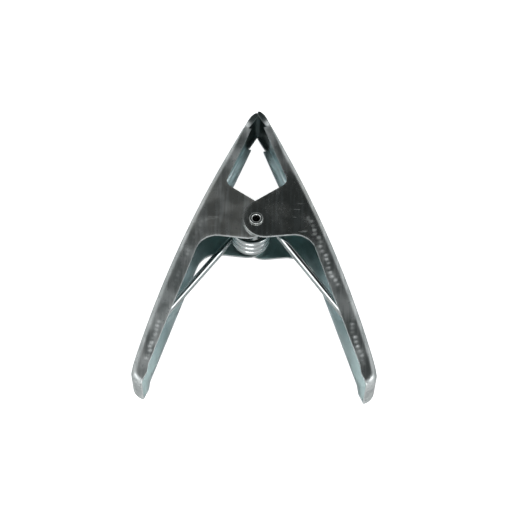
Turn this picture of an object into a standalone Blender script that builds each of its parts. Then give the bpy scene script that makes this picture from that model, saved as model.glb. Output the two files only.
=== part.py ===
"""A pressed-steel spring clamp, lying flat: two jaw halves, a torsion spring and a hollow rivet.

Metres, +Z up. The rivet's axis is vertical, the jaw tips point to +Y and the handles to -Y.
The two halves have one outline. The right one is the wider channel, and its two ears lie
outside the two ears of the left one, which is turned over.
"""

import math

import bmesh
import bpy
from mathutils import Matrix, Vector

MM = 0.001

# Sheet and stack
SHEET = 0.8 * MM  # steel thickness
EAR_GAP = 0.2 * MM  # running gap between an outer ear and the inner ear under it
COIL_GAP = 0.7 * MM  # between an inner ear and the coil
BEND_RADIUS = 2.2 * MM  # outside radius where the web turns into a flange
BEND_STEPS = 3

# Torsion spring
WIRE = 2.4 * MM
COIL_RADIUS = 5.25 * MM  # to the middle of the wire
COIL_PITCH = 2.45 * MM
COIL_CENTRE = Vector((-1.65, -1.1, 0)) * MM  # from the rivet's axis, on which the coil hangs
WHOLE_TURNS = 3
RIGHT_LEG_ANGLE = math.radians(35.6)  # to the clamp's long axis
LEFT_LEG_ANGLE = math.radians(36.3)
RIGHT_LEG_LENGTH = 47.8 * MM
LEFT_LEG_LENGTH = 38.5 * MM
COIL_MOUTH = 0.6 * MM  # how far the first turn opens outwards into the right leg
MOUTH_ANGLE = math.radians(60)
STEPS_A_TURN = 24

# Hollow rivet
RIVET_RADIUS = 1.7 * MM
RIVET_BORE = 1.25 * MM
RIM_RADIUS = 2.2 * MM
RIM_HEIGHT = 0.45 * MM
RIM_GAP = 0.12 * MM
HOLE_PLAY = 0.1 * MM

# The half's outline in the plane of its ear, measured from the rivet's axis
TIP_Y = 42.7 * MM  # the blunt nose
HEEL_Y = -58.3 * MM  # the rim of the closed handle end
JAW_PLAY = 0.15 * MM  # half the gap between the closed tips
HEEL_CENTRE = Vector((33.05, -53.95)) * MM
HEEL_RADIUS = 4.5 * MM
EAR_CENTRE = Vector((2.8, 0.58)) * MM
EAR_RADIUS = 7.0 * MM
CROOK_RADIUS = 7.0 * MM  # where the ear runs into the handle
LOWER_CROOK_RADIUS = 10.0 * MM  # the same on the right half's lower flange
NOSE_BEND_SHARE = 0.35  # of the bend radius, where the nose is pressed to its narrowest
NOSE_BEND_START, NOSE_BEND_END = 26 * MM, 36 * MM
NOSE_SLOT_AT = Vector((2.3, 36.1, 0)) * MM
NOSE_SLOT_SIZE = (1.5 * MM, 0.5 * MM)

TURNS = WHOLE_TURNS + (math.pi - RIGHT_LEG_ANGLE - LEFT_LEG_ANGLE) / math.tau
COIL_HEIGHT = TURNS * COIL_PITCH + WIRE
INNER_WIDTH = COIL_HEIGHT + 2 * COIL_GAP + 2 * SHEET  # over the left half's flanges
DEPTH = INNER_WIDTH + 2 * EAR_GAP + 2 * SHEET  # over the right half's flanges
PIVOT = Vector((0, -(TIP_Y + HEEL_Y) / 2, DEPTH / 2 + RIM_GAP + RIM_HEIGHT))


def clear_scene():
    for obj in list(bpy.data.objects):
        bpy.data.objects.remove(obj)


def new_collection(name):
    collection = bpy.data.collections.new(name)
    bpy.context.scene.collection.children.link(collection)
    return collection


def steel(name, colour, roughness):
    material = bpy.data.materials.new(name)
    material.use_nodes = True
    shader = material.node_tree.nodes["Principled BSDF"]
    shader.inputs["Base Color"].default_value = (*colour, 1)
    shader.inputs["Metallic"].default_value = 1
    shader.inputs["Roughness"].default_value = roughness
    return material


def link(obj, collection, material=None):
    collection.objects.link(obj)
    if material:
        obj.data.materials.append(material)
    return obj


def hide_cutter(obj):
    obj.hide_render = True
    obj.display_type = "WIRE"
    return obj


# ---------------------------------------------------------------- outline


def arc(centre, radius, start, end, steps):
    """Points on a circle from the start angle to the end angle, in degrees, ends included."""
    angles = [math.radians(start + (end - start) * i / steps) for i in range(steps + 1)]
    return [centre + radius * Vector((math.cos(a), math.sin(a))) for a in angles]


def arc_through(first, middle, last, steps):
    """Points on the circle through three points, from the first to the last."""
    a, b, c = Vector(first), Vector(middle), Vector(last)
    turn = 2 * ((b - a).cross(c - a))
    ab, ac = (b - a).length_squared, (c - a).length_squared
    offset = Vector(((c - a).y * ab - (b - a).y * ac, (b - a).x * ac - (c - a).x * ab)) / turn
    centre = a + offset
    start = math.degrees(math.atan2(a.y - centre.y, a.x - centre.x))
    end = math.degrees(math.atan2(c.y - centre.y, c.x - centre.x))
    return arc(centre, offset.length, start, end, steps)


def fillet(before, corner, after, radius, steps):
    """An arc of this radius in place of a corner."""
    to_before = (before - corner).normalized()
    to_after = (after - corner).normalized()
    half = to_before.angle(to_after) / 2
    centre = corner + (to_before + to_after).normalized() * radius / math.sin(half)
    reach = radius / math.tan(half)
    start, end = corner + to_before * reach - centre, corner + to_after * reach - centre
    sweep = start.angle_signed(end)
    turned = [Matrix.Rotation(-sweep * i / steps, 2) @ start for i in range(steps + 1)]
    return [centre + point for point in turned]


def back_line():
    """The outside of the web, from the nose along the arm and handle and round the heel."""
    nose = [
        Vector((JAW_PLAY, TIP_Y)),
        Vector((1.2 * MM, 42.55 * MM)),
        Vector((2.5 * MM, 41.3 * MM)),
        Vector((3.4 * MM, 39.7 * MM)),
        Vector((4.4 * MM, 37.5 * MM)),
    ]
    first, middle = Vector((5.6, 35.3)) * MM, Vector((21.3, -0.1)) * MM
    last = Vector((36.2, -47.0)) * MM
    arm_and_handle = arc_through(first, middle, last, 14)
    flare = [Vector((37.2, -51.6)) * MM]
    heel = arc(HEEL_CENTRE, HEEL_RADIUS, 0, -74, 6)
    return nose + arm_and_handle + flare + heel


def ear_line(crook_radius):
    """The free edge of a flange, from the heel past the ear to the jaw's contact land."""
    heel = [Vector((33.3, -55.6)) * MM, Vector((32.65, -54.1)) * MM]
    grip = Vector((32.35, -51.3)) * MM
    crook = Vector((17.28, -4.89)) * MM  # where the ear runs into the handle
    under_ear = EAR_CENTRE + EAR_RADIUS * Vector((math.cos(math.radians(-83.8)), -0.9942))
    throat = Vector((10.42, 14.22)) * MM  # where the ear runs into the jaw arm
    lobe = arc(EAR_CENTRE, EAR_RADIUS, 276.2, 124.2, 16)
    jaw_step = Vector((2.1, 35.7)) * MM
    jaw_corner = Vector((2.66, 36.6)) * MM
    land_foot = Vector((JAW_PLAY, 41.1 * MM))
    return (
        heel
        + [grip]
        + fillet(grip, crook, under_ear, crook_radius, 7)
        + lobe
        + fillet(lobe[-1], throat, jaw_step, 3.0 * MM, 6)
        + [jaw_step, jaw_corner, land_foot]
    )


def inset(line, distance, shares):
    """The line moved to its right-hand side, each point by the distance times its share."""
    moved = []
    for i, point in enumerate(line):
        before, after = line[max(i - 1, 0)], line[min(i + 1, len(line) - 1)]
        along = (after - before).normalized()
        moved.append(point + Vector((along.y, -along.x)) * distance * shares[i])
    return moved


def bend_shares(line):
    """How much of the full bend radius each point of the back line has: little at the nose."""
    shares = []
    for point in line:
        rise = (point.y - NOSE_BEND_START) / (NOSE_BEND_END - NOSE_BEND_START)
        shares.append(1 - (1 - NOSE_BEND_SHARE) * min(max(rise, 0), 1))
    return shares


# ---------------------------------------------------------------- pieces


def slab(name, back, rest, radius, low, high):
    """A solid between two heights whose back line is rounded over at both.

    The rest of its outline is one line for the lower levels and one for the upper ones.
    """
    shares = bend_shares(back)
    levels = []
    for i in range(BEND_STEPS + 1):
        turn = math.pi / 2 * i / BEND_STEPS
        levels.append((low + radius * (1 - math.sin(turn)), radius * (1 - math.cos(turn))))
    levels = levels[::-1] + [(low + high - z, depth) for z, depth in levels]
    mesh = bmesh.new()
    rings = []
    for z, depth in levels:
        outline = inset(back, depth, shares) + rest[z > (low + high) / 2]
        rings.append([mesh.verts.new((*point, z)) for point in outline])
    for lower, upper in zip(rings, rings[1:]):
        for i in range(len(lower)):
            j = (i + 1) % len(lower)
            mesh.faces.new((lower[i], lower[j], upper[j], upper[i]))
    mesh.faces.new(rings[0][::-1])
    mesh.faces.new(rings[-1])
    bmesh.ops.recalc_face_normals(mesh, faces=mesh.faces)
    data = bpy.data.meshes.new(name)
    mesh.to_mesh(data)
    mesh.free()
    return bpy.data.objects.new(name, data)


def drill(name, radius, height):
    """An upright cylinder round the origin, as a cutter."""
    mesh = bmesh.new()
    bmesh.ops.create_cone(
        mesh, cap_ends=True, segments=40, radius1=radius, radius2=radius, depth=height
    )
    data = bpy.data.meshes.new(name)
    mesh.to_mesh(data)
    mesh.free()
    return bpy.data.objects.new(name, data)


def relief_slot(name):
    """The narrow slot that lets the nose be pressed in, a box across both flanges."""
    size = Matrix.Diagonal((*NOSE_SLOT_SIZE, 2 * DEPTH, 1))
    mesh = bmesh.new()
    bmesh.ops.create_cube(mesh, size=1, matrix=Matrix.Translation(NOSE_SLOT_AT) @ size)
    data = bpy.data.meshes.new(name)
    mesh.to_mesh(data)
    mesh.free()
    return bpy.data.objects.new(name, data)


def cut(obj, cutter):
    modifier = obj.modifiers.new(cutter.name, "BOOLEAN")
    modifier.operation = "DIFFERENCE"
    modifier.solver = "EXACT"
    modifier.object = cutter


def half_cutters(side, width, cutters):
    """What is taken from a half's slab: the inside of the channel, the rivet hole, the slot."""
    back = back_line()
    inner_back = inset(back, SHEET, [1.0] * len(back))
    past_tip = inner_back[0] + Vector((-6 * MM, 2 * MM))
    past_heel = inner_back[-1] + Vector((-8 * MM, -1.0 * MM))
    far_side = [past_heel, Vector((-12 * MM, past_heel.y)), Vector((-12 * MM, past_tip.y))]
    rest = far_side + [past_tip]
    half = width / 2 - SHEET
    inner_radius = BEND_RADIUS - SHEET
    channel = slab(side + "_channel", inner_back, (rest, rest), inner_radius, -half, half)
    hole = drill(side + "_rivet_hole", RIVET_RADIUS + HOLE_PLAY, 2 * DEPTH)
    tools = [channel, hole, relief_slot(side + "_nose_slot")]
    for tool in tools:
        link(hide_cutter(tool), cutters)
    return tools


def jaw_half(side, width, lower_crook, collection, cutters, material):
    """A half as it lies on the right, a channel with an ear on each flange, and its cutters."""
    name = side + "_jaw_handle"
    edges = (ear_line(lower_crook), ear_line(CROOK_RADIUS))
    half = slab(name, back_line(), edges, BEND_RADIUS, -width / 2, width / 2)
    link(half, collection, material)
    tools = half_cutters(side, width, cutters)
    for tool in tools:
        cut(half, tool)
    return [half] + tools


def spring_path():
    """The wire's middle line: right leg, coil going down anticlockwise, left leg."""
    top = TURNS * COIL_PITCH / 2
    steps = round(TURNS * STEPS_A_TURN)
    coil = []
    for i in range(steps + 1):
        turned = math.tau * TURNS * i / steps
        opened = max(0, 1 - turned / MOUTH_ANGLE)
        radius = COIL_RADIUS + COIL_MOUTH * opened**2 * (3 - 2 * opened)
        angle = RIGHT_LEG_ANGLE + turned
        radial = Vector((math.cos(angle), math.sin(angle), 0)) * radius
        coil.append(COIL_CENTRE + radial + Vector((0, 0, top - 2 * top * i / steps)))
    right = Vector((math.sin(RIGHT_LEG_ANGLE), -math.cos(RIGHT_LEG_ANGLE), 0))
    left = Vector((-math.sin(LEFT_LEG_ANGLE), -math.cos(LEFT_LEG_ANGLE), 0))
    return [coil[0] + right * RIGHT_LEG_LENGTH] + coil + [coil[-1] + left * LEFT_LEG_LENGTH]


def torsion_spring(collection, material):
    curve = bpy.data.curves.new("torsion_spring", "CURVE")
    curve.dimensions = "3D"
    curve.bevel_depth = WIRE / 2
    curve.bevel_resolution = 2
    curve.use_fill_caps = True
    path = spring_path()
    spline = curve.splines.new("POLY")
    spline.points.add(len(path) - 1)
    for point, place in zip(spline.points, path):
        point.co = (*place, 1)
    return link(bpy.data.objects.new("torsion_spring", curve), collection, material)


def hollow_rivet(collection, material):
    """A tube whose two ends are rolled over into rims, turned about the rivet's axis."""
    shoulder = DEPTH / 2 + RIM_GAP
    rim_top = shoulder + RIM_HEIGHT
    edge = 0.15 * MM
    upper = [
        (RIVET_BORE, rim_top - edge),
        (RIVET_BORE + edge, rim_top),
        (RIM_RADIUS - edge, rim_top),
        (RIM_RADIUS, rim_top - edge),
        (RIM_RADIUS, shoulder + edge),
        (RIM_RADIUS - edge, shoulder),
        (RIVET_RADIUS, shoulder),
    ]
    outline = upper + [(x, -z) for x, z in reversed(upper)]
    mesh = bmesh.new()
    points = [mesh.verts.new((x, 0, z)) for x, z in outline]
    for i in range(len(points)):
        mesh.edges.new((points[i], points[(i + 1) % len(points)]))
    data = bpy.data.meshes.new("hollow_rivet")
    mesh.to_mesh(data)
    mesh.free()
    rivet = link(bpy.data.objects.new("hollow_rivet", data), collection, material)
    turn = rivet.modifiers.new("turn", "SCREW")
    turn.axis = "Z"
    turn.steps = 32
    turn.render_steps = 32
    turn.use_merge_vertices = True
    turn.merge_threshold = 0.00001
    return rivet


def main():
    clear_scene()
    collection = new_collection("spring_clamp")
    cutters = new_collection("cutters")

    pivot = bpy.data.objects.new("pivot", None)
    pivot.location = PIVOT
    collection.objects.link(pivot)

    plate = steel("zinc_plated_steel", (0.42, 0.44, 0.44), 0.38)
    wire = steel("spring_wire", (0.55, 0.57, 0.57), 0.28)
    rivet_steel = steel("rivet_steel", (0.38, 0.39, 0.39), 0.35)

    for obj in jaw_half("right", DEPTH, LOWER_CROOK_RADIUS, collection, cutters, plate):
        obj.parent = pivot
    for obj in jaw_half("left", INNER_WIDTH, CROOK_RADIUS, collection, cutters, plate):
        obj.parent = pivot
        obj.rotation_euler.y = math.pi

    for obj in (torsion_spring(collection, wire), hollow_rivet(collection, rivet_steel)):
        obj.parent = pivot


main()
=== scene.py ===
"""The finish of a pressed-steel spring clamp, laid on a pale table: fine meshes and materials."""

import math
import random

import bmesh
import bpy
from mathutils import Matrix, Quaternion, Vector, geometry, noise
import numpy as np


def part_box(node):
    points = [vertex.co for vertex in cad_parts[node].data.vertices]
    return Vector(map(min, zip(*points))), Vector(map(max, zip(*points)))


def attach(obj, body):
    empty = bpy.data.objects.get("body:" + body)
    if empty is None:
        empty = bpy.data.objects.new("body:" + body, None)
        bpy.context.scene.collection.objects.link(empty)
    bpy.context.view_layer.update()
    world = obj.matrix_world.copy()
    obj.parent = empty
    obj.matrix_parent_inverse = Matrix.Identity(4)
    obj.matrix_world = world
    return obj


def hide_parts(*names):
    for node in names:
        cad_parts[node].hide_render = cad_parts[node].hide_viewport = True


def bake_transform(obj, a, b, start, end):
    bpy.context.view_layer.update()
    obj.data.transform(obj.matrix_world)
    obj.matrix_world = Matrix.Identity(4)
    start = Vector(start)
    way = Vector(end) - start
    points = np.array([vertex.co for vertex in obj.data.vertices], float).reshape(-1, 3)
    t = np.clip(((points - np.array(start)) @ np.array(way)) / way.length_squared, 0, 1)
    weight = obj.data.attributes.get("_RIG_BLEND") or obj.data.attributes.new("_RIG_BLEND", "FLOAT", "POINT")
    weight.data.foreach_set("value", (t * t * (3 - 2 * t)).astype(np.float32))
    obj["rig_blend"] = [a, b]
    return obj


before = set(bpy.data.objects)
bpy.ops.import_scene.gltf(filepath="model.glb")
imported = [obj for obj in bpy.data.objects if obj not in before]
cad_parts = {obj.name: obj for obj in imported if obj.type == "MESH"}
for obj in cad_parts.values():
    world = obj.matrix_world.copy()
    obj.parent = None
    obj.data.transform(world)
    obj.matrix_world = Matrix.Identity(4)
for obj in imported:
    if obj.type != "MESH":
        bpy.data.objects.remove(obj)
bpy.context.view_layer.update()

MM = 0.001

# ---------------------------------------------------------------- sizes, as in the design

SHEET = 0.8 * MM
EAR_GAP = 0.2 * MM
COIL_GAP = 0.7 * MM
BEND_RADIUS = 2.2 * MM
WIRE = 2.4 * MM
COIL_RADIUS = 5.25 * MM
COIL_PITCH = 2.45 * MM
COIL_CENTRE = Vector((-1.65, -1.1, 0)) * MM
RIGHT_LEG_ANGLE = math.radians(35.6)
LEFT_LEG_ANGLE = math.radians(36.3)
RIGHT_LEG_LENGTH = 47.8 * MM
LEFT_LEG_LENGTH = 38.5 * MM
COIL_MOUTH = 0.6 * MM
MOUTH_ANGLE = math.radians(60)
TURNS = 3 + (math.pi - RIGHT_LEG_ANGLE - LEFT_LEG_ANGLE) / math.tau
RIVET_RADIUS = 1.7 * MM
RIVET_BORE = 1.25 * MM
RIM_RADIUS = 2.2 * MM
RIM_HEIGHT = 0.45 * MM
RIM_GAP = 0.12 * MM
HOLE_PLAY = 0.1 * MM

TIP_Y = 42.7 * MM
JAW_PLAY = 0.02 * MM
HEEL_CENTRE = Vector((33.05, -53.95)) * MM
HEEL_RADIUS = 4.5 * MM
EAR_CENTRE = Vector((2.8, 0.58)) * MM
EAR_RADIUS = 7.0 * MM
CROOK_RADIUS = 7.0 * MM
LOWER_CROOK_RADIUS = 10.0 * MM
# A raised spot by the nose, its colour lightened as a painted highlight.
NOSE_GLINT_SPOT = Vector((3.1, 37.2)) * MM
NOSE_GLINT_ALONG, NOSE_GLINT_ACROSS = Vector((-0.45, 0.89)), Vector((0.89, 0.45))
NOSE_GLINT_LENGTH, NOSE_GLINT_WIDTH = 1.3, 0.7
NOSE_BUMP_HEIGHT = 0.3 * MM
# A marked patch on the ear; its lightened colour is partly a painted highlight.
MARKED_GLINT_SPOT = Vector((14.5, -0.5)) * MM
MARKED_GLINT_WIDTH, MARKED_GLINT_LENGTH = 3.4, 6
NOSE_BEND_SHARE = 0.35
NOSE_BEND_START, NOSE_BEND_END = 26 * MM, 36 * MM

OUTLINE_STEP = 0.4 * MM
FREE_EDGE_STEP = 0.9 * MM
FLANGE_GRID = 1.1 * MM
ARM_STEPS = 320
BEND_STEPS = 8
STRIP_STEPS = 8
STRIP_STEP = 0.3 * MM
WEB_STEPS = 10
SOFT_EDGE = 0.13 * MM
WAVE_SCALE = 90
WAVE_HEIGHT = 0.04 * MM

# Marks of the bending press, in millimetres: along the outline, and in from it.
MARKS_START, MARKS_PAUSE, MARKS_RESUME, MARKS_END = 46.0, 73, 86, 104
MARK_DEPTHS = (0.08, 0.2)
MARK_PLACES = (3.4, 4.3)
MARK_REACHES = (0.26, 0.42)
MARK_SPACINGS = (1.3, 1.9)
MARK_WIDTH = 0.4
FULL_MARK_DEPTH = 0.16
# Strength of the painted highlight in the press marks.
MARK_GLINT = 0.6

COIL_HEIGHT = TURNS * COIL_PITCH + WIRE
INNER_WIDTH = COIL_HEIGHT + 2 * COIL_GAP + 2 * SHEET
DEPTH = INNER_WIDTH + 2 * EAR_GAP + 2 * SHEET

rivet_low, rivet_high = (Vector(corner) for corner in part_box("hollow_rivet"))
PIVOT = (rivet_low + rivet_high) / 2
FLOOR_Z = rivet_low.z


# ---------------------------------------------------------------- outline of a half


def arc(centre, radius, start, end, steps):
    """Points on a circle from the start angle to the end angle, in degrees, ends included."""
    angles = [math.radians(start + (end - start) * i / steps) for i in range(steps + 1)]
    return [centre + radius * Vector((math.cos(a), math.sin(a))) for a in angles]


def arc_through(first, middle, last, steps):
    """Points on the circle through three points, from the first to the last."""
    a, b, c = Vector(first), Vector(middle), Vector(last)
    turn = 2 * ((b - a).cross(c - a))
    ab, ac = (b - a).length_squared, (c - a).length_squared
    offset = Vector(((c - a).y * ab - (b - a).y * ac, (b - a).x * ac - (c - a).x * ab)) / turn
    centre = a + offset
    start = math.degrees(math.atan2(a.y - centre.y, a.x - centre.x))
    end = math.degrees(math.atan2(c.y - centre.y, c.x - centre.x))
    return arc(centre, offset.length, start, end, steps)


def fillet(before, corner, after, radius, steps):
    """An arc of this radius in place of a corner."""
    to_before = (before - corner).normalized()
    to_after = (after - corner).normalized()
    half = to_before.angle(to_after) / 2
    centre = corner + (to_before + to_after).normalized() * radius / math.sin(half)
    reach = radius / math.tan(half)
    start, end = corner + to_before * reach - centre, corner + to_after * reach - centre
    sweep = start.angle_signed(end)
    turned = [Matrix.Rotation(-sweep * i / steps, 2) @ start for i in range(steps + 1)]
    return [centre + point for point in turned]


def split(line, spacing):
    """The line with points added so that none are further apart than the spacing."""
    fine = [line[0]]
    for a, b in zip(line, line[1:]):
        count = max(1, math.ceil((b - a).length / spacing))
        fine += [a.lerp(b, i / count) for i in range(1, count + 1)]
    return fine


def back_line():
    """The outside of the web, from the nose along the arm and handle and round the heel."""
    nose = [
        Vector((JAW_PLAY, TIP_Y)),
        Vector((0.8 * MM, 42.66 * MM)),
        Vector((1.25 * MM, 42.45 * MM)),
        Vector((1.75 * MM, 42.0 * MM)),
        Vector((2.5 * MM, 41.25 * MM)),
        Vector((3.4 * MM, 39.7 * MM)),
        Vector((3.98 * MM, 38.4 * MM)),
        Vector((4.48 * MM, 37.35 * MM)),
    ]
    first, middle = Vector((5.6, 35.3)) * MM, Vector((21.3, -0.1)) * MM
    last = Vector((36.2, -47.0)) * MM
    arm_and_handle = arc_through(first, middle, last, ARM_STEPS)
    flare = [last, Vector((36.84, -49.6)) * MM, Vector((37.3, -52.0)) * MM]
    heel = arc(HEEL_CENTRE, HEEL_RADIUS, 0, -74, 14)
    nose = split(nose + [first], OUTLINE_STEP)[:-1]
    flare = split(flare + heel[:1], OUTLINE_STEP)[1:]
    return nose + arm_and_handle + flare + heel[1:]


def ear_line(crook_radius):
    """The free edge of a flange, from the heel past the ear to the jaw's contact land."""
    heel = [Vector((33.3, -55.6)) * MM, Vector((32.65, -54.1)) * MM]
    grip = Vector((32.35, -51.3)) * MM
    crook = Vector((17.28, -4.89)) * MM
    under_ear = EAR_CENTRE + EAR_RADIUS * Vector((math.cos(math.radians(-83.8)), -0.9942))
    throat = Vector((10.42, 14.22)) * MM
    lobe = arc(EAR_CENTRE, EAR_RADIUS, 276.2, 124.2, 36)
    jaw_step = Vector((2.1, 35.7)) * MM
    slot = [Vector((3.05, 35.85)) * MM, Vector((3.05, 36.35)) * MM]
    jaw_corner = Vector((2.62, 36.5)) * MM
    land_foot = Vector((JAW_PLAY, 41.1 * MM))
    line = (
        heel
        + [grip]
        + fillet(grip, crook, under_ear, crook_radius, 18)
        + lobe
        + fillet(lobe[-1], throat, jaw_step, 3.0 * MM, 12)
        + [jaw_step]
        + slot
        + [jaw_corner, land_foot]
    )
    return split(line, FREE_EDGE_STEP)


def inset(line, distances):
    """The line moved to its right-hand side, each point by its own distance."""
    last = len(line) - 1
    runs = [(line[min(i + 1, last)] - line[max(i - 1, 0)]).normalized() for i in range(last + 1)]
    moved = []
    for i, point in enumerate(line):
        reach = min(4, i, last - i)
        along = sum(runs[i - reach : i + reach + 1], Vector((0, 0))).normalized()
        moved.append(point + Vector((along.y, -along.x)) * distances[i])
    return moved


def bend_shares(line):
    """How much of the full bend radius each point of the back line has: little at the nose."""
    shares = []
    for point in line:
        rise = (point.y - NOSE_BEND_START) / (NOSE_BEND_END - NOSE_BEND_START)
        shares.append(1 - (1 - NOSE_BEND_SHARE) * min(max(rise, 0), 1))
    return shares


def inside(point, outline):
    """True if the point lies within the closed outline."""
    found = False
    for a, b in zip(outline, outline[1:] + outline[:1]):
        if (a.y > point.y) != (b.y > point.y):
            if point.x < a.x + (b.x - a.x) * (point.y - a.y) / (b.y - a.y):
                found = not found
    return found


# ---------------------------------------------------------------- meshes


def to_data(mesh, name):
    """The working mesh turned into mesh data."""
    data = bpy.data.meshes.new(name)
    mesh.to_mesh(data)
    mesh.free()
    return data


def new_piece(name, data, materials):
    piece = bpy.data.objects.new(name, data)
    bpy.context.scene.collection.objects.link(piece)
    for material in materials:
        data.materials.append(material)
    return piece


def bend_levels(width):
    """(height, depth, past the bend) from the lower flange over the web to the upper flange."""
    half = width / 2
    bend = []
    for i in range(BEND_STEPS + 1):
        turn = math.pi / 2 * i / BEND_STEPS
        drop = BEND_RADIUS * (1 - math.sin(turn))
        bend.append((half - drop, BEND_RADIUS * (1 - math.cos(turn)), 0))
    strip = [(half, BEND_RADIUS, STRIP_STEP * i) for i in range(1, STRIP_STEPS + 1)]
    web = [(bend[0][0] * (2 * i / WEB_STEPS - 1), 0, 0) for i in range(1, WEB_STEPS)]
    edge = bend + strip
    return [(-z, depth, past) for z, depth, past in reversed(edge)] + web + edge


def room(y):
    """How much of the marked strip fits beside the bend: little at the nose and the heel."""
    y /= MM
    return 0.22 + 0.78 * min(max(min((22 - y) / 12, (y + 52) / 6), 0), 1)


def flange_faces(mesh, row, free_edge, z):
    """Fills one flange between its bend and its free edge, with the rivet hole left open."""
    hole = arc(Vector((0, 0)), RIVET_RADIUS + HOLE_PLAY, 0, 348.75, 31)
    outline = [vert.co.xy for vert in row] + free_edge
    spacing = FLANGE_GRID
    inner = []
    for i in range(int(45 * MM / spacing)):
        for j in range(int(104 * MM / spacing)):
            point = Vector((-5 * MM + (i + 0.5 * (j % 2)) * spacing, -60 * MM + j * spacing))
            clear = min((point - near).length for near in outline + hole)
            if clear > 0.55 * spacing and point.length > RIVET_RADIUS and inside(point, outline):
                inner.append(point)
    count = len(outline)
    edges = [(i, (i + 1) % count) for i in range(count)]
    edges += [(count + i, count + (i + 1) % len(hole)) for i in range(len(hole))]
    points, _, faces, origins, _, _ = geometry.delaunay_2d_cdt(
        outline + hole + inner, edges, [], 0, 1e-8
    )
    verts = []
    for point, origin in zip(points, origins):
        if origin and origin[0] < len(row):
            verts.append(row[origin[0]])
        else:
            verts.append(mesh.verts.new((*point, z)))
    for face in faces:
        middle = sum((points[i] for i in face), Vector((0, 0))) / 3
        if inside(middle, outline) and middle.length > RIVET_RADIUS + HOLE_PLAY * 0.8:
            mesh.faces.new([verts[i] for i in face])


def dent_places(seed, share):
    """Where the press marked the flange, as (along, inwards, depth, reach) in millimetres."""
    draw = random.Random(seed)
    places = []
    along = MARKS_START
    while along < MARKS_END:
        depth = draw.uniform(*MARK_DEPTHS) * (1 if along > MARKS_RESUME else share)
        if along < MARKS_PAUSE or along > MARKS_RESUME:
            inwards = draw.uniform(*MARK_PLACES)
            places.append((along, inwards, depth, draw.uniform(*MARK_REACHES)))
        along += draw.uniform(*MARK_SPACINGS)
    return places


def dent_at(along, inwards, places):
    """How deep the marks are at one point of the flange, in millimetres."""
    total = 0
    for place, inner, depth, reach in places:
        far = ((along - place) / reach) ** 2 + ((inwards - inner) / MARK_WIDTH) ** 2
        if far < 9:
            total += depth * math.exp(-far / 2)
    return total


def half_skin(name, width, lower_crook, seed, share):
    """The outer face of one half as an open surface, with the press marks in it."""
    back = back_line()
    shares = bend_shares(back)
    lengths = [0.0]
    for a, b in zip(back, back[1:]):
        lengths.append(lengths[-1] + (b - a).length / MM)
    places = dent_places(seed, share)
    mesh = bmesh.new()
    for layer in ("rub_and_glint", "bend", "painted_glint"):
        mesh.verts.layers.float.new(layer)
    rub_and_glint, bend, painted_glint = (mesh.verts.layers.float[layer] for layer in ("rub_and_glint", "bend", "painted_glint"))
    rows = []
    for z, depth, past in bend_levels(width):
        depths = [(depth + past * room(point.y)) * part for point, part in zip(back, shares)]
        row = []
        for point, along, inwards in zip(inset(back, depths), lengths, depths):
            dent = dent_at(along, inwards / MM, places) if z > width / 2 - 1 * MM else 0
            vert = mesh.verts.new((*point, z - dent * MM))
            # Painted highlight: the press marks are lightened with their depth.
            vert[painted_glint] = min(dent / FULL_MARK_DEPTH, 1) * MARK_GLINT
            vert[bend] = math.sin(math.pi * depth / BEND_RADIUS) if past == 0 else 0
            row.append(vert)
        rows.append(row)
    for lower, upper in zip(rows, rows[1:]):
        for i in range(len(lower) - 1):
            mesh.faces.new((lower[i], lower[i + 1], upper[i + 1], upper[i]))
    flange_faces(mesh, rows[0], ear_line(lower_crook), -width / 2)
    flange_faces(mesh, rows[-1], ear_line(CROOK_RADIUS), width / 2)
    loose = [vert for vert in mesh.verts if not vert.link_faces]
    bmesh.ops.delete(mesh, geom=loose, context="VERTS")
    bmesh.ops.recalc_face_normals(mesh, faces=mesh.faces)
    upright = [face for face in mesh.faces if abs(face.normal.z) < 0.1]
    if sum(face.normal.x * face.calc_area() for face in upright) < 0:
        bmesh.ops.reverse_faces(mesh, faces=mesh.faces)
    for vert in mesh.verts:
        wave = noise.noise(vert.co * WAVE_SCALE + Vector((seed, 0, 0)))
        if vert.co.z > width / 2 - 0.5 * MM:
            # Painted highlight: the raised spot by the nose is lightened.
            off = (vert.co.xy - NOSE_GLINT_SPOT) / MM
            along, across = off.dot(NOSE_GLINT_ALONG), off.dot(NOSE_GLINT_ACROSS)
            bright_patch = math.exp(-((along / NOSE_GLINT_LENGTH) ** 2) - (across / NOSE_GLINT_WIDTH) ** 2)
            vert[painted_glint] = max(vert[painted_glint], min(1.5 * bright_patch, 1))
            vert.co.z += NOSE_BUMP_HEIGHT * bright_patch
            # Painted highlight on real marks: the ear patch is lightened, scaled by share.
            marked_glint = (vert.co.xy - MARKED_GLINT_SPOT) / MM
            beside, ahead = marked_glint.x / MARKED_GLINT_WIDTH, marked_glint.y / MARKED_GLINT_LENGTH
            vert[rub_and_glint] = share * math.exp(-(beside**2) - ahead**2)
        vert.co.z += wave * WAVE_HEIGHT
    for face in mesh.faces:
        face.smooth = True
    return to_data(mesh, name)


def jaw_half(name, width, lower_crook, mirrored, seed, share, materials):
    """One half, thickened inwards and with its sheared edges softened."""
    data = half_skin(name, width, lower_crook, seed, share)
    if mirrored:
        data.transform(Matrix.Diagonal((-1, 1, 1, 1)))
        data.flip_normals()
    data.transform(Matrix.Translation(PIVOT))
    piece = new_piece(name, data, materials)
    wall = piece.modifiers.new("wall", "SOLIDIFY")
    wall.thickness = SHEET
    wall.offset = -1
    wall.use_even_offset = True
    wall.material_offset = 1
    wall.material_offset_rim = 2
    edges = piece.modifiers.new("sheared_edges", "BEVEL")
    edges.width = SOFT_EDGE
    edges.segments = 2
    edges.limit_method = "ANGLE"
    edges.angle_limit = math.radians(50)
    edges.use_clamp_overlap = True
    return piece


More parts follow.
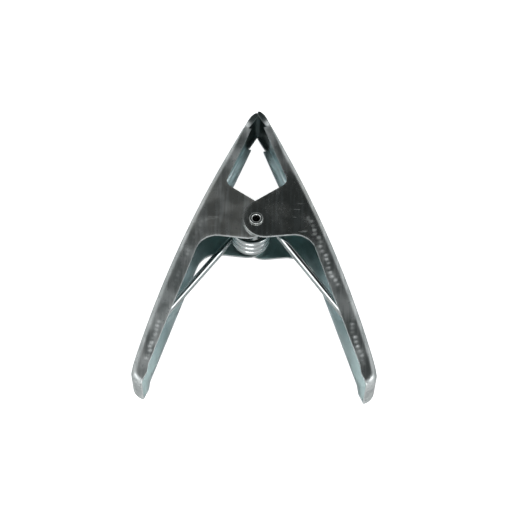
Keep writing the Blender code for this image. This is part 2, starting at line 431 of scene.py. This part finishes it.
def spring_path(coil_steps):
    """Centre points of the wire: right leg, coil going down anticlockwise, left leg."""
    centre = PIVOT + COIL_CENTRE
    top = TURNS * COIL_PITCH / 2
    coil = []
    for i in range(coil_steps + 1):
        share = i / coil_steps
        turned = math.tau * TURNS * share
        opened = max(0, 1 - turned / MOUTH_ANGLE)
        radius = COIL_RADIUS + COIL_MOUTH * opened**2 * (3 - 2 * opened)
        angle = RIGHT_LEG_ANGLE + turned
        radial = Vector((math.cos(angle), math.sin(angle), 0)) * radius
        coil.append(centre + radial + Vector((0, 0, top * (1 - 2 * share))))
    right = Vector((math.sin(RIGHT_LEG_ANGLE), -math.cos(RIGHT_LEG_ANGLE), 0)) * RIGHT_LEG_LENGTH
    left = Vector((-math.sin(LEFT_LEG_ANGLE), -math.cos(LEFT_LEG_ANGLE), 0)) * LEFT_LEG_LENGTH
    right_leg = [coil[0] + right * i / 30 for i in range(30, 0, -1)]
    left_leg = [coil[-1] + left * i / 26 for i in range(1, 27)]
    return right_leg + coil + left_leg


def tube(name, path, radius, sides, end_chamfer):
    """A round bar along the path, its two cut ends chamfered."""
    mesh = bmesh.new()
    rings = []
    last = len(path) - 1
    for i, centre in enumerate(path):
        along = (path[min(i + 1, last)] - path[max(i - 1, 0)]).normalized()
        across = along.cross(Vector((0, 0, 1))).normalized()
        up = across.cross(along)
        steps = [(0, radius)]
        if i == 0:
            steps = [(0, radius - end_chamfer), (end_chamfer, radius)]
        if i == last:
            steps = [(-end_chamfer, radius), (0, radius - end_chamfer)]
        for shift, size in steps:
            ring = []
            for k in range(sides):
                angle = math.tau * k / sides
                offset = across * math.cos(angle) + up * math.sin(angle)
                ring.append(mesh.verts.new(centre + along * shift + offset * size))
            rings.append(ring)
    for lower, upper in zip(rings, rings[1:]):
        for k in range(sides):
            j = (k + 1) % sides
            face = mesh.faces.new((lower[k], lower[j], upper[j], upper[k]))
            face.smooth = True
    mesh.faces.new(rings[0][::-1])
    mesh.faces.new(rings[-1])
    bmesh.ops.recalc_face_normals(mesh, faces=mesh.faces)
    return to_data(mesh, name)


def lathe(name, outline, steps):
    """A closed outline of (radius, height) turned about the rivet's axis."""
    mesh = bmesh.new()
    rings = []
    for i in range(steps):
        angle = math.tau * i / steps
        spin = Vector((math.cos(angle), math.sin(angle), 0))
        rings.append([mesh.verts.new(PIVOT + spin * r + Vector((0, 0, z))) for r, z in outline])
    for ring, following in zip(rings, rings[1:] + rings[:1]):
        for k in range(len(outline)):
            j = (k + 1) % len(outline)
            face = mesh.faces.new((ring[k], ring[j], following[j], following[k]))
            face.smooth = True
    bmesh.ops.recalc_face_normals(mesh, faces=mesh.faces)
    return to_data(mesh, name)


def rivet_outline():
    """Right half of the rivet's section: a tube whose ends curl over into round rims."""
    shoulder = DEPTH / 2 + RIM_GAP
    rim_top = shoulder + RIM_HEIGHT
    lip = arc(Vector((RIM_RADIUS - 0.25 * MM, rim_top - 0.2 * MM)), 0.2 * MM, 90, 0, 4)
    lip = [Vector((min(point.x + 0.05 * MM, RIM_RADIUS), point.y)) for point in lip]
    mouth = arc(Vector((RIVET_BORE + 0.35 * MM, rim_top - 0.35 * MM)), 0.35 * MM, 180, 90, 6)
    under = [
        Vector((RIM_RADIUS, shoulder + 0.1 * MM)),
        Vector((RIM_RADIUS - 0.1 * MM, shoulder)),
        Vector((RIVET_RADIUS, shoulder)),
    ]
    upper = mouth + lip + under
    return upper + [Vector((point.x, -point.y)) for point in reversed(upper)]


# ---------------------------------------------------------------- materials

ZINC_DARK, ZINC_LIGHT = (0.4, 0.43, 0.43), (0.56, 0.59, 0.59)
ZINC_EAR = (0.5, 0.5, 0.48)
ZINC_STREAK = (0.74, 0.76, 0.76)
ZINC_PIT = (0.2, 0.22, 0.23)
# Painted shade: the plating's colour at the jaw tips.
ZINC_TIP_PAINTED_SHADE = (0.16, 0.19, 0.19)
# Rubbed plating along the bends, and painted highlight in the press marks, the marked ear patch and the nose
# spot.
BARE_METAL_AND_GLINT = (0.95, 0.97, 0.97)
INSIDE_DARK, INSIDE_LIGHT = (0.58, 0.68, 0.69), (0.7, 0.8, 0.82)
# Painted light: the inside is lighter towards the open heels.
INSIDE_HEEL_PAINTED_LIGHT = (0.84, 0.92, 0.92)
# Painted shade: the inside round the pivot, under the ears.
INSIDE_EAR_PAINTED_SHADE = (0.3, 0.42, 0.42)
# Painted shade: the inside's colour at the jaw tips.
INSIDE_TIP_PAINTED_SHADE = (0.12, 0.15, 0.15)
# Bare steel at the cut edges, lighter than the plating, partly a painted highlight along them.
SHEARED_STEEL_AND_GLINT = (0.85, 0.88, 0.88)
WIRE_STEEL = (0.6, 0.63, 0.63)
RIVET_STEEL = (0.7, 0.72, 0.71)


def new_group(name, wanted, given):
    """An empty shader node group with these inputs and outputs, as (name, kind)."""
    group = bpy.data.node_groups.new(name, "ShaderNodeTree")
    for socket, kind in wanted:
        group.interface.new_socket(socket, in_out="INPUT", socket_type="NodeSocket" + kind)
    for socket, kind in given:
        group.interface.new_socket(socket, in_out="OUTPUT", socket_type="NodeSocket" + kind)
    return group, group.nodes.new("NodeGroupInput"), group.nodes.new("NodeGroupOutput")


def noise_node(nodes, links, place, scale, detail):
    texture = nodes.new("ShaderNodeTexNoise")
    texture.inputs["Scale"].default_value = scale
    texture.inputs["Detail"].default_value = detail
    links.new(place, texture.inputs["Vector"])
    return texture.outputs["Fac"]


def stretch(nodes, links, place, scale):
    mapping = nodes.new("ShaderNodeMapping")
    mapping.inputs["Scale"].default_value = scale
    links.new(place, mapping.inputs["Vector"])
    return mapping.outputs["Vector"]


def remap(nodes, links, value, low, high, to_low, to_high):
    node = nodes.new("ShaderNodeMapRange")
    node.interpolation_type = "SMOOTHSTEP"
    for socket, number in zip(node.inputs[1:5], (low, high, to_low, to_high)):
        socket.default_value = number
    links.new(value, node.inputs[0])
    return node.outputs[0]


def arith(nodes, links, operation, a, b):
    node = nodes.new("ShaderNodeMath")
    node.operation = operation
    node.use_clamp = True
    for socket, value in zip(node.inputs, (a, b)):
        if isinstance(value, (int, float)):
            socket.default_value = value
        else:
            links.new(value, socket)
    return node.outputs[0]


def mottle_group():
    """Broad blotches and small specks of the plating, each as a mask."""
    group, _, out = new_group("mottle", [], [("Blotch", "Float"), ("Speck", "Float")])
    nodes, links = group.nodes, group.links
    place = nodes.new("ShaderNodeTexCoord").outputs["Object"]
    broad = noise_node(nodes, links, place, 110, 4)
    small = noise_node(nodes, links, place, 900, 2)
    links.new(remap(nodes, links, broad, 0.36, 0.66, 0, 1), out.inputs["Blotch"])
    links.new(remap(nodes, links, small, 0.6, 0.72, 0, 1), out.inputs["Speck"])
    return group


def streak_group():
    """Drawing lines that run lengthwise, as a mask and as a normal."""
    group, _, out = new_group("streaks", [], [("Mask", "Float"), ("Normal", "Vector")])
    nodes, links = group.nodes, group.links
    place = nodes.new("ShaderNodeTexCoord").outputs["Object"]
    lines = noise_node(nodes, links, stretch(nodes, links, place, (1.0, 0.06, 1.0)), 1300, 3)
    bands = noise_node(nodes, links, stretch(nodes, links, place, (1.0, 0.12, 1.0)), 420, 2)
    both = arith(nodes, links, "MULTIPLY", lines, bands)
    bump = nodes.new("ShaderNodeBump")
    bump.inputs["Strength"].default_value = 0.12
    bump.inputs["Distance"].default_value = 0.0001
    links.new(lines, bump.inputs["Height"])
    links.new(remap(nodes, links, both, 0.18, 0.36, 0, 1), out.inputs["Mask"])
    links.new(bump.outputs["Normal"], out.inputs["Normal"])
    return group


def rub_and_glint_group():
    """Lightened patches within the area that is passed in: rubbed plating along the bends, and on the marked
    ear patch real marks with a painted highlight.
    """
    group, given, out = new_group("rub_and_glint", [("Area", "Float")], [("Mask", "Float")])
    nodes, links = group.nodes, group.links
    place = nodes.new("ShaderNodeTexCoord").outputs["Object"]
    patches = noise_node(nodes, links, stretch(nodes, links, place, (0.3, 1.5, 1.0)), 700, 3)
    patches = remap(nodes, links, patches, 0.6, 0.7, 0, 1)
    links.new(arith(nodes, links, "MULTIPLY", patches, given.outputs["Area"]), out.inputs["Mask"])
    return group


def zone_group():
    """Where on the clamp a point is: near the pivot, near the jaw tips, or towards the heels."""
    outputs = [("Ear", "Float"), ("Tip", "Float"), ("Heel", "Float")]
    group, _, out = new_group("zones", [], outputs)
    nodes, links = group.nodes, group.links
    place = nodes.new("ShaderNodeTexCoord").outputs["Object"]
    flat = nodes.new("ShaderNodeVectorMath")
    flat.operation = "MULTIPLY"
    flat.inputs[1].default_value = (1, 1, 0)
    links.new(place, flat.inputs[0])
    away = nodes.new("ShaderNodeVectorMath")
    away.operation = "DISTANCE"
    away.inputs[1].default_value = (0, PIVOT.y, 0)
    links.new(flat.outputs["Vector"], away.inputs[0])
    parts = nodes.new("ShaderNodeSeparateXYZ")
    links.new(place, parts.inputs[0])
    near = remap(nodes, links, away.outputs["Value"], 0.013, 0.027, 1, 0)
    links.new(near, out.inputs["Ear"])
    # Tip: where the painted shade at the jaw tips is laid.
    tip = remap(nodes, links, parts.outputs["Y"], PIVOT.y + 0.0352, PIVOT.y + 0.0372, 0, 1)
    links.new(tip, out.inputs["Tip"])
    # Heel: where the painted light inside the channels is laid.
    heel = remap(nodes, links, parts.outputs["Y"], PIVOT.y - 0.015, PIVOT.y - 0.05, 0, 1)
    links.new(heel, out.inputs["Heel"])
    return group


def use_group(nodes, group):
    node = nodes.new("ShaderNodeGroup")
    node.node_tree = group
    return node


def blend_colours(nodes, links, share, first, second):
    node = nodes.new("ShaderNodeMix")
    node.data_type = "RGBA"
    for index, value in ((0, share), (6, first), (7, second)):
        socket = node.inputs[index]
        if isinstance(value, tuple):
            socket.default_value = (*value, 1)
        else:
            links.new(value, socket)
    return node.outputs[2]


def new_metal(name):
    """An empty metallic material with its nodes, links and shader."""
    material = bpy.data.materials.new(name)
    material.use_nodes = True
    nodes, links = material.node_tree.nodes, material.node_tree.links
    shader = nodes["Principled BSDF"]
    shader.inputs["Metallic"].default_value = 1
    return material, nodes, links, shader


def attribute(nodes, name):
    node = nodes.new("ShaderNodeAttribute")
    node.attribute_name = name
    return node.outputs["Fac"]


def plated_sheet(name, ear_rough, arm_rough, groups):
    """Zinc-plated sheet: smooth round the pivot, hazy on the arms, rubbed along the bends, with painted
    highlights in the press marks, the marked ear patch and the nose spot, and painted shade at the jaw tips.
    """
    mottle, streaks, rub_and_glint, zones = groups
    material, nodes, links, shader = new_metal(name)
    spots, lines, rub_and_glint_patches, where = (use_group(nodes, g) for g in (mottle, streaks, rub_and_glint, zones))
    edge = arith(nodes, links, "MULTIPLY", attribute(nodes, "bend"), 0.25)
    area = arith(nodes, links, "ADD", edge, attribute(nodes, "rub_and_glint"))
    links.new(area, rub_and_glint_patches.inputs["Area"])
    colour = blend_colours(nodes, links, spots.outputs["Blotch"], ZINC_DARK, ZINC_LIGHT)
    colour = blend_colours(nodes, links, where.outputs["Ear"], colour, ZINC_EAR)
    drawn = arith(nodes, links, "MULTIPLY", lines.outputs["Mask"], 0.75)
    colour = blend_colours(nodes, links, drawn, colour, ZINC_STREAK)
    pits = arith(nodes, links, "MULTIPLY", spots.outputs["Speck"], 0.45)
    colour = blend_colours(nodes, links, pits, colour, ZINC_PIT)
    # Painted shade: darker towards the jaw tips.
    colour = blend_colours(nodes, links, where.outputs["Tip"], colour, ZINC_TIP_PAINTED_SHADE)
    # Rubbed plating and painted highlight, lightened together.
    bright_patch = arith(nodes, links, "MAXIMUM", rub_and_glint_patches.outputs["Mask"], attribute(nodes, "painted_glint"))
    colour = blend_colours(nodes, links, bright_patch, colour, BARE_METAL_AND_GLINT)
    links.new(colour, shader.inputs["Base Color"])
    hazy = remap(nodes, links, spots.outputs["Blotch"], 0, 1, arm_rough, arm_rough + 0.1)
    smooth = remap(nodes, links, spots.outputs["Blotch"], 0, 1, ear_rough, ear_rough + 0.08)
    rough = nodes.new("ShaderNodeMix")
    links.new(where.outputs["Ear"], rough.inputs[0])
    links.new(hazy, rough.inputs[2])
    links.new(smooth, rough.inputs[3])
    grain = arith(nodes, links, "MULTIPLY", spots.outputs["Speck"], 0.08)
    both = arith(nodes, links, "ADD", rough.outputs[0], grain)
    lift = arith(nodes, links, "MULTIPLY", bright_patch, 0.3)
    links.new(arith(nodes, links, "ADD", both, lift), shader.inputs["Roughness"])
    links.new(lines.outputs["Normal"], shader.inputs["Normal"])
    return material


def channel_inside(name, groups):
    """The inner face of the channels: greener, with painted light towards the heels and painted shade round
    the pivot and at the tips.
    """
    mottle, _, _, zones = groups
    material, nodes, links, shader = new_metal(name)
    spots, where = use_group(nodes, mottle), use_group(nodes, zones)
    colour = blend_colours(nodes, links, spots.outputs["Blotch"], INSIDE_DARK, INSIDE_LIGHT)
    # Painted light: lighter towards the heels.
    colour = blend_colours(nodes, links, where.outputs["Heel"], colour, INSIDE_HEEL_PAINTED_LIGHT)
    # Painted shade: darker round the pivot, under the ears.
    colour = blend_colours(nodes, links, where.outputs["Ear"], colour, INSIDE_EAR_PAINTED_SHADE)
    # Painted shade: darker towards the jaw tips.
    colour = blend_colours(nodes, links, where.outputs["Tip"], colour, INSIDE_TIP_PAINTED_SHADE)
    links.new(colour, shader.inputs["Base Color"])
    rough = remap(nodes, links, spots.outputs["Blotch"], 0, 1, 0.32, 0.42)
    links.new(rough, shader.inputs["Roughness"])
    return material


def bright_steel(name, colour, roughness, groups):
    """Drawn, turned or sheared steel with light blotches."""
    mottle = groups[0]
    material, nodes, links, shader = new_metal(name)
    spots = use_group(nodes, mottle)
    darker = tuple(0.78 * part for part in colour)
    links.new(
        blend_colours(nodes, links, spots.outputs["Blotch"], darker, colour),
        shader.inputs["Base Color"],
    )
    rough = remap(nodes, links, spots.outputs["Speck"], 0, 1, roughness, roughness + 0.12)
    links.new(rough, shader.inputs["Roughness"])
    return material


# ---------------------------------------------------------------- studio


def table_top():
    """The pale table: plain when mirrored, and lit from within when seen directly."""
    mesh = bmesh.new()
    bmesh.ops.create_grid(mesh, x_segments=1, y_segments=1, size=3)
    data = to_data(mesh, "table")
    material = bpy.data.materials.new("table_white")
    material.use_nodes = True
    nodes, links = material.node_tree.nodes, material.node_tree.links
    seen = nodes["Principled BSDF"]
    mirrored = nodes.new("ShaderNodeBsdfPrincipled")
    for shader, grey, glow in ((seen, 0.9, 0.82), (mirrored, 0.8, 0.0)):
        shader.inputs["Base Color"].default_value = (grey, grey, grey, 1)
        shader.inputs["Roughness"].default_value = 0.8
        shader.inputs["Emission Color"].default_value = (1, 1, 1, 1)
        shader.inputs["Emission Strength"].default_value = glow
    path = nodes.new("ShaderNodeLightPath")
    choice = nodes.new("ShaderNodeMixShader")
    links.new(path.outputs["Is Camera Ray"], choice.inputs["Fac"])
    links.new(mirrored.outputs["BSDF"], choice.inputs[1])
    links.new(seen.outputs["BSDF"], choice.inputs[2])
    links.new(choice.outputs["Shader"], nodes["Material Output"].inputs["Surface"])
    table = new_piece("table", data, [material])
    table.location.z = FLOOR_Z - 0.0002


def softbox(name, place, aim, size, power):
    """A rectangular lamp that faces the aim."""
    light = bpy.data.lights.new(name, "AREA")
    light.shape = "RECTANGLE"
    light.size, light.size_y = size
    light.energy = power
    lamp = bpy.data.objects.new(name, light)
    lamp.location = place
    lamp.rotation_euler = (Vector(aim) - Vector(place)).to_track_quat("-Z", "Y").to_euler()
    bpy.context.scene.collection.objects.link(lamp)


def lobe(nodes, links, place, towards, low, high):
    """1 in this direction, falling to 0 away from it."""
    dot = nodes.new("ShaderNodeVectorMath")
    dot.operation = "DOT_PRODUCT"
    dot.inputs[1].default_value = Vector(towards).normalized()
    links.new(place, dot.inputs[0])
    return remap(nodes, links, dot.outputs["Value"], low, high, 0, 1)


def sky():
    """Grey all round, with a dark patch above, a light one in front and two bright ones aside."""
    world = bpy.data.worlds.new("studio")
    bpy.context.scene.world = world
    world.use_nodes = True
    nodes, links = world.node_tree.nodes, world.node_tree.links
    place = nodes.new("ShaderNodeTexCoord").outputs["Generated"]
    ceiling = lobe(nodes, links, place, (0, 0.5, 0.87), 0.72, 0.97)
    front = lobe(nodes, links, place, (0, -0.96, 0.28), 0.75, 0.95)
    sides = [lobe(nodes, links, place, (x, -0.05, 0.68), 0.95, 0.985) for x in (-0.72, 0.72)]
    colour = blend_colours(nodes, links, ceiling, (0.68, 0.7, 0.7), (0.03, 0.035, 0.035))
    colour = blend_colours(nodes, links, front, colour, (0.95, 0.98, 0.98))
    for side in sides:
        colour = blend_colours(nodes, links, side, colour, (3.2, 3.25, 3.25))
    links.new(colour, nodes["Background"].inputs["Color"])
    nodes["Background"].inputs["Strength"].default_value = 1.0


def camera():
    """A long lens from the handle side, about 60 degrees above the table."""
    data = bpy.data.cameras.new("camera")
    data.sensor_width = 36
    data.lens = 105.9
    data.clip_start = 0.01
    eye = bpy.data.objects.new("camera", data)
    target = PIVOT + Vector((0, 0, DEPTH / 2))
    sight = math.radians(59.0)
    eye.location = target - Vector((0, math.cos(sight), -math.sin(sight))) * 0.483
    axis = math.radians(60.38)
    yaw = math.radians(-0.055)
    forward = Vector((math.sin(yaw) * math.cos(axis), math.cos(axis), -math.sin(axis)))
    level = forward.to_track_quat("-Z", "Y")
    roll = Quaternion((0, 0, 1), math.radians(0.8))
    eye.rotation_euler = (level @ roll).to_euler()
    bpy.context.scene.collection.objects.link(eye)
    bpy.context.scene.camera = eye


def main():
    groups = (mottle_group(), streak_group(), rub_and_glint_group(), zone_group())
    right_plate = plated_sheet("plated_sheet_right", 0.18, 0.3, groups)
    left_plate = plated_sheet("plated_sheet_left", 0.3, 0.36, groups)
    inner_face = channel_inside("plated_sheet_inside", groups)
    # Cut edges: bare steel with a painted highlight along them.
    cut_edge_glint = bright_steel("sheared_edge_glint", SHEARED_STEEL_AND_GLINT, 0.36, groups)
    wire = bright_steel("spring_wire", WIRE_STEEL, 0.12, groups)
    rivet_steel = bright_steel("rivet_steel", RIVET_STEEL, 0.24, groups)

    right_looks = [right_plate, inner_face, cut_edge_glint]
    right = jaw_half("right_half", DEPTH, LOWER_CROOK_RADIUS, False, 3, 1.0, right_looks)
    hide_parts("right_jaw_handle")
    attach(right, "right_half")

    left_looks = [left_plate, inner_face, cut_edge_glint]
    # share 0.3: shallower marks and a weaker painted highlight on this half.
    left = jaw_half("left_half", INNER_WIDTH, CROOK_RADIUS, True, 8, 0.3, left_looks)
    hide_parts("left_jaw_handle")
    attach(left, "left_half")

    path = spring_path(200)
    spring = new_piece("spring", tube("spring", path, WIRE / 2, 24, 0.15 * MM), [wire])
    reach = TURNS * COIL_PITCH / 2 - 0.2 * MM
    low, high = PIVOT - Vector((0, 0, reach)), PIVOT + Vector((0, 0, reach))
    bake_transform(spring, "left_half", "right_half", start=tuple(low), end=tuple(high))
    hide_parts("torsion_spring")

    rivet = new_piece("rivet", lathe("rivet", rivet_outline(), 64), [rivet_steel])
    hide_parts("hollow_rivet")
    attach(rivet, "left_half")

    table_top()
    sky()
    softbox("front_box", (0.0, -0.75, 0.45), (0, 0, 0), (0.5, 0.16), 1.6)
    camera()
    bpy.context.scene.view_settings.view_transform = "Standard"


main()
